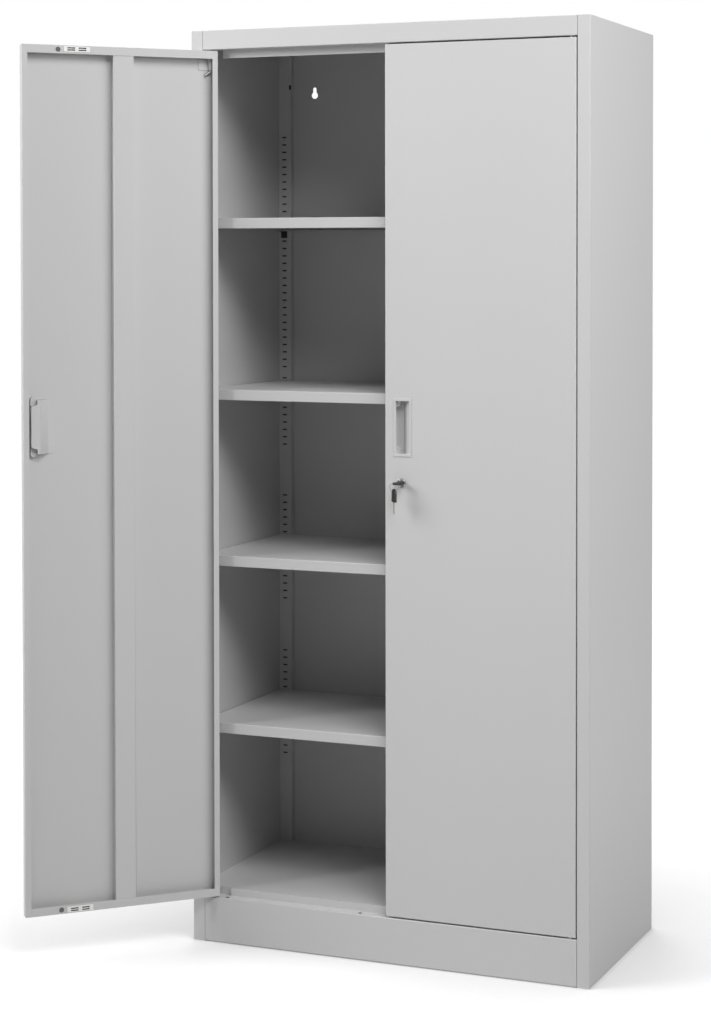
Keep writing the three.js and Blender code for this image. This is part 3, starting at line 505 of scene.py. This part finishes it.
# The magnetic catches
# A white nylon housing in a window of each end lip holds two magnets, each between two steel pole plates
# that stand a hair proud of it. The plates cling to the door stop of the body.
CATCH_WHITE = "#f6f5f2"
CATCH_WHITE_CLOUD = "#f0efec"
CATCH_CLOUD_SPACING = 0.03
CATCH_GRAIN_SPACING = 0.0007
CATCH_GRAIN_DEPTH = 0.00001
CATCH_ROUGHNESS = (0.38, 0.48)
CATCH_EDGE = 0.0006
NYLON_IOR = 1.53
POLE_INSET = 0.008
POLE_WIDTH = 0.0143
POLE_THICKNESS = 0.0018
POLE_SPREAD = 0.0021
POLE_DEPTH = 0.005
POLE_PROUD = 0.0002
POLE_EDGE = 0.0003
POLE_PALE = "#38393b"
POLE_DARK = "#2d2e30"
POLE_GRAIN_STRETCH = (1, 12, 12)
POLE_ROUGHNESS = (0.35, 0.5)


def block(low, high, edge):
    """A rectangular solid with eased edges between two corners."""
    solid = bmesh.new()
    bmesh.ops.create_cube(solid, size=1)
    size = Vector(high) - Vector(low)
    solid.transform(Matrix.Translation((Vector(low) + Vector(high)) / 2) @ Matrix.Diagonal((*size, 1)))
    return ease_edges(solid, edge)


# Injection-moulded nylon: milky white with a soft sheen.
white_nylon = sheet_surface(
    "moulded_white_nylon", CATCH_WHITE, CATCH_WHITE_CLOUD, CATCH_CLOUD_SPACING, CATCH_ROUGHNESS,
    CATCH_GRAIN_SPACING, CATCH_GRAIN_DEPTH, ior=NYLON_IOR,
)
# Blued mild steel cut from strip: dark grey, with faint lines along the strip.
strip_steel = sheet_surface(
    "mild_steel_strip", POLE_PALE, POLE_DARK, CATCH_CLOUD_SPACING, POLE_ROUGHNESS, CATCH_GRAIN_SPACING,
    CATCH_GRAIN_DEPTH, metallic=1.0, grain_stretch=POLE_GRAIN_STRETCH,
)
for end in ("top", "bottom"):
    low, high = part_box(f"right_catch_{end}")
    middle = (low.z + high.z) / 2
    for side in SIDES:
        door, name = f"{side}_door", f"{side}_catch_{end}"
        solid = ease_edges(solid_of(name), CATCH_EDGE)
        add_piece(f"{name}_housing", solid, white_nylon, door, name)
        for pair, start in enumerate((low.x + POLE_INSET, high.x - POLE_INSET - POLE_WIDTH), 1):
            for row, rise in enumerate((-POLE_SPREAD, POLE_SPREAD), 1):
                near = Vector((start, high.y - POLE_DEPTH, middle + rise - POLE_THICKNESS / 2))
                far = Vector((start + POLE_WIDTH, high.y + POLE_PROUD, middle + rise + POLE_THICKNESS / 2))
                plate = hang(block(near, far, POLE_EDGE), side)
                add_piece(f"{name}_pole_{pair}_{row}", plate, strip_steel, door)


# The bumpers
# Discs of grey rubber stuck on the end lips, with a rounded rim, to quiet the doors.
BUMPER_PALE = "#6d6d6d"
BUMPER_DARK = "#636363"
BUMPER_CLOUD_SPACING = 0.004
BUMPER_GRAIN_SPACING = 0.0006
BUMPER_GRAIN_DEPTH = 0.00002
BUMPER_ROUGHNESS = (0.75, 0.9)
BUMPER_ROUND_SHARE = 0.6
RUBBER_IOR = 1.52
TURN_STEPS = 48
RIM_STEPS = 4


def skinned(solid, rings, closed=False):
    """Puts faces from each ring of points to the next, and over the ends or, if closed, back to the first."""
    sides = len(rings[0])
    following = rings[1:] + rings[:1] if closed else rings[1:]
    for lower, upper in zip(rings, following):
        for step in range(sides):
            after = (step + 1) % sides
            solid.faces.new((lower[step], lower[after], upper[after], upper[step]))
    for face in solid.faces:
        face.smooth = True
    if not closed:
        solid.faces.new(rings[0])
        solid.faces.new(rings[-1])
    bmesh.ops.recalc_face_normals(solid, faces=solid.faces)
    return solid


def turned(profile, centre, axis, closed=False):
    """A solid turned from (radius, distance along the axis) pairs, about an axis through the centre."""
    solid = bmesh.new()
    rings = []
    for radius, along in profile:
        ring = []
        for step in range(TURN_STEPS):
            angle = 2 * math.pi * step / TURN_STEPS
            across, up = radius * math.cos(angle), radius * math.sin(angle)
            offset = Vector((across, along, up)) if axis == "y" else Vector((across, up, along))
            ring.append(solid.verts.new(Vector(centre) + offset))
        rings.append(ring)
    return skinned(solid, rings, closed)


def round_rim(radius, along, edge):
    """Profile points of a rim that rounds from the side of a disc over to its far face."""
    angles = [math.pi / 2 * step / RIM_STEPS for step in range(RIM_STEPS + 1)]
    return [(radius - edge + edge * math.cos(a), along - edge + edge * math.sin(a)) for a in angles]


# Sulphur-cured rubber, moulded: grey, matt and faintly dusty.
grey_rubber = sheet_surface(
    "moulded_grey_rubber", BUMPER_PALE, BUMPER_DARK, BUMPER_CLOUD_SPACING, BUMPER_ROUGHNESS,
    BUMPER_GRAIN_SPACING, BUMPER_GRAIN_DEPTH, ior=RUBBER_IOR,
)
for end in ("top", "bottom"):
    low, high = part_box(f"right_bumper_{end}")
    radius = (high.x - low.x) / 2
    thickness = high.y - low.y
    profile = [(radius, 0.0)] + round_rim(radius, thickness, thickness * BUMPER_ROUND_SHARE)
    centre = Vector(((low.x + high.x) / 2, low.y, (low.z + high.z) / 2))
    for side in SIDES:
        name = f"{side}_bumper_{end}"
        disc = hang(turned(profile, centre, "y"), side)
        add_piece(f"{name}_disc", disc, grey_rubber, f"{side}_door", name)


# The hinges
# At the top a zinc-plated pin with a bent leg slides in a barrel, which is welded to a plate in the door and
# painted with it. A coil spring under the pin's collar pushes it up, and is squeezed when the pin is pulled.
# At the foot a fixed pin on a plate stands in the ledge.
ZINC_PALE = "#9a9c9e"
ZINC_DARK = "#8b8d8f"
ZINC_CLOUD_SPACING = 0.012
ZINC_GRAIN_SPACING = 0.0009
ZINC_GRAIN_DEPTH = 0.000008
ZINC_ROUGHNESS = (0.42, 0.55)
HINGE_EDGE = 0.0003
PIN_RADIUS = 0.0023
PIN_TIP = 0.0008
PIN_KNEE_DROP = 0.0032
PIN_LEG = Vector((-0.0113, 0, -0.0075))
PIN_BEND_RADIUS = 0.004
PIN_BEND_STEPS = 8
ROD_SIDES = 20
COLLAR_RADIUS = 0.0032
COLLAR_HEIGHT = 0.002
COLLAR_EDGE = 0.0003
SPRING_CLEARANCE = 0.0003
SPRING_WIRE = 0.0003
SPRING_TURNS = 8
SPRING_STEPS = 24
SPRING_SIDES = 8
SPRING_TIP = 0.0001
SPRING_PALE = "#5a5c5f"
SPRING_DARK = "#4c4e51"

# Electroplated zinc with a clear passivate: silvery grey, a little cloudy, between satin and bright.
zinc_plate = sheet_surface(
    "bright_zinc_plate", ZINC_PALE, ZINC_DARK, ZINC_CLOUD_SPACING, ZINC_ROUGHNESS, ZINC_GRAIN_SPACING,
    ZINC_GRAIN_DEPTH, metallic=1.0,
)
# Patented spring wire, drawn and oiled: dark grey and smooth.
spring_wire = sheet_surface(
    "drawn_spring_wire", SPRING_PALE, SPRING_DARK, ZINC_CLOUD_SPACING, ZINC_ROUGHNESS,
    ZINC_GRAIN_SPACING, ZINC_GRAIN_DEPTH, metallic=1.0,
)


def bent_rod(points, radius, tip, across, sides=ROD_SIDES):
    """A round rod along a path that stays clear of the direction across, with chamfered ends."""
    first_way = (points[1] - points[0]).normalized()
    last_way = (points[-1] - points[-2]).normalized()
    line = [points[0], points[0] + first_way * tip] + points[1:-1] + [points[-1] - last_way * tip, points[-1]]
    radii = [radius - tip] + [radius] * (len(line) - 2) + [radius - tip]
    solid = bmesh.new()
    rings = []
    for i, centre in enumerate(line):
        heading = (line[min(i + 1, len(line) - 1)] - line[max(i - 1, 0)]).normalized()
        sideways = heading.cross(across).normalized()
        upward = heading.cross(sideways)
        ring = []
        for step in range(sides):
            angle = 2 * math.pi * step / sides
            spoke = math.cos(angle) * sideways + math.sin(angle) * upward
            ring.append(solid.verts.new(centre + radii[i] * spoke))
        rings.append(ring)
    return skinned(solid, rings)


def wound_wire(start, axis, first, radius, wire, rise, turns, steps, sides, tip):
    """Wire wound about an axis from a start on it, where the first way points at the wire's beginning."""
    sideways = axis.cross(first)
    points = []
    for step in range(int(turns * steps) + 1):
        angle = 2 * math.pi * step / steps
        spoke = math.cos(angle) * first + math.sin(angle) * sideways
        points.append(start + rise * step / steps * axis + radius * spoke)
    return bent_rod(points, wire, tip, axis, sides)


def pin_line(tip_height, knee):
    """The middle line of a top pin, from its tip straight down to the bend and out along the leg."""
    turn = math.atan2(-PIN_LEG.x, -PIN_LEG.z)
    bend_start = knee + Vector((0, 0, PIN_BEND_RADIUS * math.tan(turn / 2)))
    bend_centre = bend_start - Vector((PIN_BEND_RADIUS, 0, 0))
    angles = [turn * step / PIN_BEND_STEPS for step in range(PIN_BEND_STEPS + 1)]
    bend = [bend_centre + PIN_BEND_RADIUS * Vector((math.cos(a), 0, -math.sin(a))) for a in angles]
    return [Vector((knee.x, knee.y, tip_height))] + bend + [knee + PIN_LEG]


barrel_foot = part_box("right_hinge_barrel")[0].z
pin_tip_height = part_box("right_hinge_pin")[1].z
spring_low, spring_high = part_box("right_hinge_spring")
spring_length = spring_high.z - spring_low.z
spring_radius = (spring_high.x - spring_low.x) / 2 - SPRING_WIRE
spring_rise = (spring_length - 2 * SPRING_WIRE) / SPRING_TURNS
collar_foot = spring_high.z + SPRING_CLEARANCE
pivot = door_pivot["right"]
spring_foot = Vector((pivot.x, pivot.y, spring_low.z + SPRING_WIRE))
spring_start = Vector((1, 0, 0))
up = Vector((0, 0, 1))
knee = Vector((pivot.x, pivot.y, barrel_foot - PIN_KNEE_DROP))
collar_profile = [(PIN_RADIUS, 0.0), (COLLAR_RADIUS, 0.0)]
collar_profile += round_rim(COLLAR_RADIUS, COLLAR_HEIGHT, COLLAR_EDGE) + [(PIN_RADIUS, COLLAR_HEIGHT)]
for side in SIDES:
    door = f"{side}_door"
    barrel = f"{side}_hinge_barrel"
    weldment = ease_edges(solid_of(barrel), HINGE_EDGE)
    add_piece(f"{barrel}_weldment", weldment, powder_coat, door, barrel)
    foot = f"{side}_foot_pin"
    add_piece(f"{foot}_steel", ease_edges(solid_of(foot), HINGE_EDGE), zinc_plate, door, foot)
    pin = f"{side}_hinge_pin"
    rod = hang(bent_rod(pin_line(pin_tip_height, knee), PIN_RADIUS, PIN_TIP, Vector((0, 1, 0))), side)
    add_piece(f"{pin}_rod", rod, zinc_plate, f"{side}_top_pin", pin)
    collar = hang(turned(collar_profile, (pivot.x, pivot.y, collar_foot), "z", closed=True), side)
    add_piece(f"{pin}_collar", collar, zinc_plate, f"{side}_top_pin")
    spring = f"{side}_hinge_spring"
    wire = wound_wire(
        spring_foot, up, spring_start, spring_radius, SPRING_WIRE, spring_rise, SPRING_TURNS,
        SPRING_STEPS, SPRING_SIDES, SPRING_TIP,
    )
    coil = add_piece(f"{spring}_coil", hang(wire, side), spring_wire, door, spring)
    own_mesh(coil)


# The cam lock
# A zinc die-cast cylinder, chrome plated, clamped in the right door by a nut behind the skin. The plug turns
# with the key and carries a steel cam on its square end, held by a screw.
CHROME_PALE = "#9b9ea1"
CHROME_DARK = "#909396"
CHROME_CLOUD_SPACING = 0.008
CHROME_GRAIN_SPACING = 0.003
CHROME_GRAIN_DEPTH = 0.000004
CHROME_ROUGHNESS = (0.12, 0.2)
BARREL_RADIUS = 0.008
BORE_RADIUS = 0.0055
FLANGE_CLEARANCE = 0.0003
LOCK_RIM_EDGE = 0.0011
LOCK_DISH = 0.0005
LOCK_LAND = 0.0016
LOCK_EDGE = 0.0003

# Bright nickel-chrome on a polished casting. It mirrors the white studio, so its own grey is set low, which
# gives the mid grey that it has in a room.
chrome_plate = sheet_surface(
    "bright_chrome_plate", CHROME_PALE, CHROME_DARK, CHROME_CLOUD_SPACING, CHROME_ROUGHNESS,
    CHROME_GRAIN_SPACING, CHROME_GRAIN_DEPTH, metallic=1.0,
)
low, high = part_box("lock_housing")
lock_axis = Vector(((low.x + high.x) / 2, 0.0, (low.z + high.z) / 2))
flange_radius = (high.x - low.x) / 2
flange_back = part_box("right_door_skin")[0].y - FLANGE_CLEARANCE
rim = [
    (radius, low.y + flange_back - along)
    for radius, along in round_rim(flange_radius, flange_back, LOCK_RIM_EDGE)
]
housing_profile = [
    (BORE_RADIUS, high.y),
    (BARREL_RADIUS - LOCK_EDGE, high.y),
    (BARREL_RADIUS, high.y - LOCK_EDGE),
    (BARREL_RADIUS, flange_back),
    (flange_radius, flange_back),
] + rim + [
    (flange_radius - LOCK_RIM_EDGE - LOCK_LAND, low.y),
    (BORE_RADIUS + LOCK_EDGE, low.y + LOCK_DISH),
    (BORE_RADIUS, low.y + LOCK_DISH + LOCK_EDGE),
]
housing = turned(housing_profile, lock_axis, "y", closed=True)
add_piece("lock_housing_casting", housing, chrome_plate, "right_door", "lock_housing")
plug = ease_edges(solid_of("lock_plug"), LOCK_EDGE)
add_piece("lock_plug_casting", plug, chrome_plate, "lock_core", "lock_plug")
for part, body in (("lock_nut", "right_door"), ("lock_cam", "lock_core"), ("cam_screw", "lock_core")):
    add_piece(f"{part}_steel", ease_edges(solid_of(part), LOCK_EDGE), zinc_plate, body, part)


# The keys
# Each is a toothed blade pressed from nickel silver with a bow of black ABS moulded round its end. One is in
# the lock. The other hangs from it on a ring of spring wire, wound twice and chrome plated.
BOW_BLACK = "#0b0b0b"
BOW_BLACK_CLOUD = "#101010"
BOW_CLOUD_SPACING = 0.01
BOW_GRAIN_SPACING = 0.0007
BOW_GRAIN_DEPTH = 0.00002
BOW_ROUGHNESS = (0.45, 0.58)
BOW_LENGTH = 0.026
BOW_HALF_WIDTH = 0.009
BOW_HALF_THICKNESS = 0.002
BOW_CORNER = 0.0015
BOW_END_STEPS = 16
BOW_EDGE = 0.0006
BOW_EDGE_KNEE = 0.00015
BOW_RECESS = 0.0004
BOW_BORDER = 0.0016
BOW_HOLE_INSET = 0.008
BOW_HOLE_RADIUS = 0.0035
BOW_EYE_WIDTH = 0.0012
BOW_STEPS = 96
BLADE_PALE = "#b9b5ac"
BLADE_DARK = "#a9a59b"
BLADE_EDGE = 0.00012
BLADE_CUT = 0.0001
BLADE_ROOT = 0.0005
RING_WIRE = 0.0004
RING_LAYER = 0.0008
RING_TURNS = 1.9
RING_STEPS = 48
RING_SIDES = 10
RING_TIP = 0.0001

# Injection-moulded ABS in a spark-eroded mould: black with a fine satin texture.
black_abs = sheet_surface(
    "moulded_black_abs", BOW_BLACK_CLOUD, BOW_BLACK, BOW_CLOUD_SPACING, BOW_ROUGHNESS, BOW_GRAIN_SPACING,
    BOW_GRAIN_DEPTH, ior=ABS_IOR,
)
# Rolled nickel silver, tumbled after it is cut: a warm silvery grey with a soft shine.
nickel_silver = sheet_surface(
    "tumbled_nickel_silver", BLADE_PALE, BLADE_DARK, BOW_CLOUD_SPACING, ZINC_ROUGHNESS, BOW_GRAIN_SPACING,
    ZINC_GRAIN_DEPTH, metallic=1.0,
)


def bow_reach(angle):
    """How far the edge of a bow is from its hole, in a direction in the bow's plane."""
    way = Vector((math.cos(angle), math.sin(angle)))
    hole = Vector((0, BOW_HOLE_INSET - BOW_LENGTH))
    round_middle = Vector((0, BOW_HALF_WIDTH - BOW_LENGTH))
    turns = [math.pi + math.pi * step / BOW_END_STEPS for step in range(BOW_END_STEPS + 1)]
    edge = [round_middle + BOW_HALF_WIDTH * Vector((math.cos(turn), math.sin(turn))) for turn in turns]
    edge += [
        Vector((BOW_HALF_WIDTH, -BOW_CORNER)),
        Vector((BOW_HALF_WIDTH - BOW_CORNER, 0)),
        Vector((BOW_CORNER - BOW_HALF_WIDTH, 0)),
        Vector((-BOW_HALF_WIDTH, -BOW_CORNER)),
    ]
    reaches = []
    for start, end in zip(edge, edge[1:] + edge[:1]):
        outward = Vector((end.y - start.y, start.x - end.x)).normalized()
        if outward.dot(way) > 0:
            reaches.append((start - hole).dot(outward) / outward.dot(way))
    return min(reaches)


def key_bow():
    """A bow drawn flat, its blade end at y = 0, with sunk faces inside a border and an eye round its hole."""
    thick = BOW_HALF_THICKNESS
    face = [(0, 0, thick - BOW_EDGE), (0, BOW_EDGE, thick), (0, BOW_EYE_WIDTH, thick)]
    face += [(0, BOW_EYE_WIDTH + BOW_RECESS, thick - BOW_RECESS)]
    face += [(1, BOW_BORDER + BOW_RECESS, thick - BOW_RECESS), (1, BOW_BORDER, thick)]
    face += [(1, BOW_EDGE, thick), (1, BOW_EDGE_KNEE, thick - BOW_EDGE_KNEE), (1, 0, thick - BOW_EDGE)]
    both = face + [(outer, inset, -height) for outer, inset, height in reversed(face)]
    solid = bmesh.new()
    rings = []
    for outer, inset, height in both:
        ring = []
        for step in range(BOW_STEPS):
            angle = 2 * math.pi * step / BOW_STEPS
            distance = bow_reach(angle) - inset if outer else BOW_HOLE_RADIUS + inset
            across, along = distance * math.cos(angle), distance * math.sin(angle)
            ring.append(solid.verts.new((across, BOW_HOLE_INSET - BOW_LENGTH + along, height)))
        rings.append(ring)
    return skinned(solid, rings, closed=True)


def key_blade(key, bow_end, blade_way):
    """The part of a key's solid that stands out of its bow, with its root a little way into it."""
    solid = solid_of(key)
    everything = solid.verts[:] + solid.edges[:] + solid.faces[:]
    cut_place = bow_end + blade_way * BLADE_CUT
    cut = bmesh.ops.bisect_plane(
        solid, geom=everything, plane_co=cut_place, plane_no=blade_way, clear_inner=True
    )
    rim = [part for part in cut["geom_cut"] if isinstance(part, bmesh.types.BMEdge)]
    bmesh.ops.contextual_create(solid, geom=rim)
    for corner in {corner for edge in rim for corner in edge.verts}:
        corner.co -= blade_way * (BLADE_CUT + BLADE_ROOT)
    return ease_edges(solid, BLADE_EDGE)


low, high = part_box("key")
lock_bow_end = Vector(((low.x + high.x) / 2, low.y + BOW_LENGTH, (low.z + high.z) / 2))
ring_low, ring_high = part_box("key_ring")
ring_centre = (ring_low + ring_high) / 2
ring_axis = Vector((1, -1, 0)).normalized()
spare_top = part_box("spare_key")[1].z
spare_bow_end = Vector((ring_centre.x, ring_centre.y, spare_top - BOW_LENGTH))
down = Vector((0, 0, -1))
spare_turn = Matrix((ring_axis, down, ring_axis.cross(down))).transposed().to_4x4()
keys = {
    "key": (lock_bow_end, Matrix.Identity(4), Vector((0, 1, 0))),
    "spare_key": (spare_bow_end, spare_turn, down),
}
for key, (bow_end, turn, blade_way) in keys.items():
    bow = key_bow()
    bow.transform(Matrix.Translation(bow_end) @ turn)
    add_piece(f"{key}_bow", bow, black_abs, key, key)
    add_piece(f"{key}_blade", key_blade(key, bow_end, blade_way), nickel_silver, key)
ring_radius = (ring_high.z - ring_low.z) / 2 - (RING_WIRE + RING_LAYER) / 2
ring_start = ring_centre - RING_TURNS / 2 * RING_LAYER * ring_axis
ring = wound_wire(
    ring_start, ring_axis, up, ring_radius, RING_WIRE, RING_LAYER, RING_TURNS, RING_STEPS, RING_SIDES,
    RING_TIP,
)
add_piece("key_ring_wire", ring, chrome_plate, "key_ring", "key_ring")
